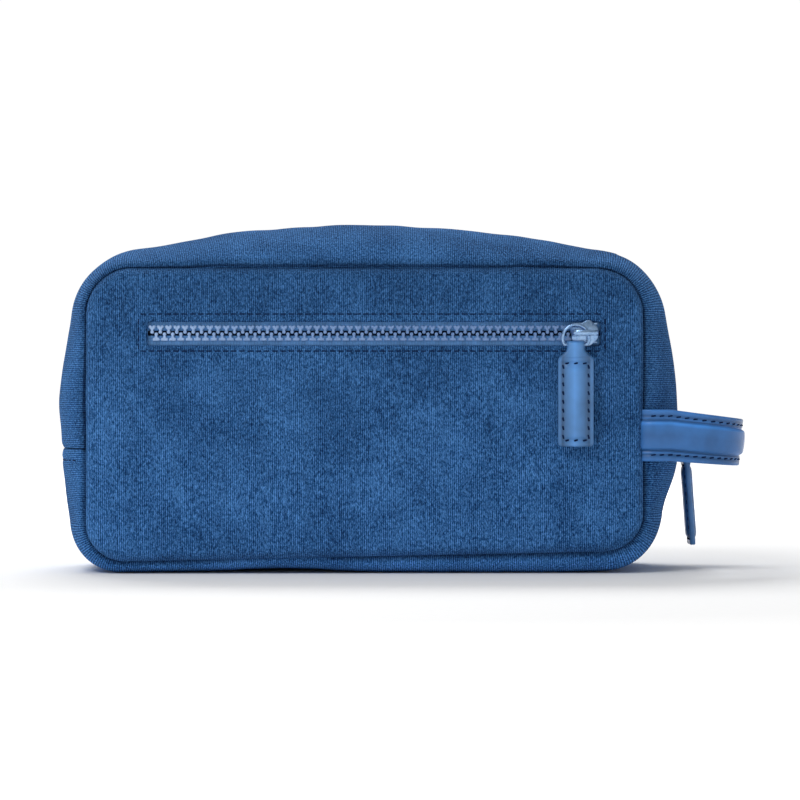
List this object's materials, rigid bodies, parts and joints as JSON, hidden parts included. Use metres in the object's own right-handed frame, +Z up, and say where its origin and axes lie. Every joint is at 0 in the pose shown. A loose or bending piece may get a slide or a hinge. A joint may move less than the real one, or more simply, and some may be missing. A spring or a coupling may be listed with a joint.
{
  "type": "zippered wash pouch",
  "caption": "Soft terry wash pouch on a flat base, with a zip over the top, a zipped front pocket, leather zip pulls and a padded leather loop handle at one end.",
  "frame": {"origin": "on the floor under the middle of the shell, at the centre of the flat base", "axes": "+X to the pouch's right as seen from the front, the handle's end; -Y out of the front face with the pocket; +Z up"},
  "size_m": [0.2801, 0.109, 0.1421],
  "materials": {
    "terry": "ribbed terry velour, matt",
    "lining": "plain woven nylon",
    "tape": "woven zip tape",
    "teeth": "moulded, satin to pearly",
    "slider_metal": "plated with a blue cast",
    "pull_leather": "smooth grain, satin",
    "strap_leather": "smooth grain, satin",
    "filler": "foam, hidden"
  },
  "bodies": {
    "shell": {"front_panel": "terry", "rear_panel": "terry", "base_gusset": "terry", "front_gusset_left": "terry", "front_gusset_right": "terry", "rear_gusset_left": "terry", "rear_gusset_right": "terry", "front_panel_lining": "lining", "rear_panel_lining": "lining", "base_lining": "lining", "front_lining_left": "lining", "front_lining_right": "lining", "rear_lining_left": "lining", "rear_lining_right": "lining", "front_tape_left": "tape", "front_tape_right": "tape", "rear_tape_left": "tape", "rear_tape_right": "tape", "front_teeth_left": "teeth", "front_teeth_right": "teeth", "rear_teeth_left": "teeth", "rear_teeth_right": "teeth", "main_zip_stop_left": "teeth", "main_zip_stop_right": "teeth", "pocket_tape_upper": "tape", "pocket_tape_lower": "tape", "pocket_teeth_upper": "teeth", "pocket_teeth_lower": "teeth", "pocket_zip_stop_left": "teeth", "pocket_zip_stop_right": "teeth", "pocket_bag_front": "lining", "pocket_bag_back": "lining"},
    "front_lip": {"front_gusset_lip": "terry", "front_lining_lip": "lining", "front_tape_lip": "tape", "front_teeth_lip": "teeth"},
    "rear_lip": {"rear_gusset_lip": "terry", "rear_lining_lip": "lining", "rear_tape_lip": "tape", "rear_teeth_lip": "teeth"},
    "main_slider": {"main_slider": "slider_metal"},
    "main_ring": {"main_pull_ring": "slider_metal"},
    "main_pull": {"main_pull_leather": "pull_leather", "main_pull_filler": "filler"},
    "pocket_slider": {"pocket_slider": "slider_metal"},
    "pocket_ring": {"pocket_pull_ring": "slider_metal"},
    "pocket_pull": {"pocket_pull_leather": "pull_leather", "pocket_pull_filler": "filler"},
    "handle": {"handle_outer_leather": "strap_leather", "handle_filler": "filler", "handle_inner_leather": "strap_leather"}
  },
  "joints": [
    {"name": "pocket_slide", "type": "slide", "parent": "shell", "child": "pocket_slider", "axis": [-1, 0, 0], "range_m": [0, 0.162], "deforming": ["pocket_teeth_upper", "pocket_teeth_lower"]},
    {"name": "pocket_ring_swing", "type": "hinge", "parent": "pocket_slider", "child": "pocket_ring", "pos_m": [0.0891, -0.05525, 0.0964], "axis": [0, 0, 1], "range_deg": [0, 90]},
    {"name": "pocket_pull_swing", "type": "hinge", "parent": "pocket_ring", "child": "pocket_pull", "pos_m": [0.0843, -0.05525, 0.09163], "axis": [-1, 0, 0], "range_deg": [0, 100]},
    {"name": "main_slide", "type": "slide", "parent": "shell", "child": "main_slider", "axis": [-0.0715, 0, 0.9974], "range_m": [0, 0.04], "deforming": ["front_teeth_right", "rear_teeth_right"]},
    {"name": "main_ring_swing", "type": "hinge", "parent": "main_slider", "child": "main_ring", "pos_m": [0.1323, 0, 0.05788], "axis": [0, -1, 0], "range_deg": [0, 20]},
    {"name": "main_pull_swing", "type": "hinge", "parent": "main_ring", "child": "main_pull", "pos_m": [0.13287, 0, 0.04993], "axis": [0, -1, 0], "range_deg": [0, 20]},
    {"name": "handle_swing", "type": "hinge", "parent": "shell", "child": "handle", "pos_m": [0.1226, 0, 0.0554], "axis": [0, 1, 0], "range_deg": [-30, 30], "stiffness_Nm_per_rad": 0.1},
    {"name": "front_lip_open", "type": "hinge", "parent": "shell", "child": "front_lip", "pos_m": [0, -0.045, 0.1224], "axis": [1, 0, 0], "range_deg": [0, 60]},
    {"name": "rear_lip_open", "type": "hinge", "parent": "shell", "child": "rear_lip", "pos_m": [0, 0.045, 0.1224], "axis": [-1, 0, 0], "range_deg": [0, 60]}
  ]
}
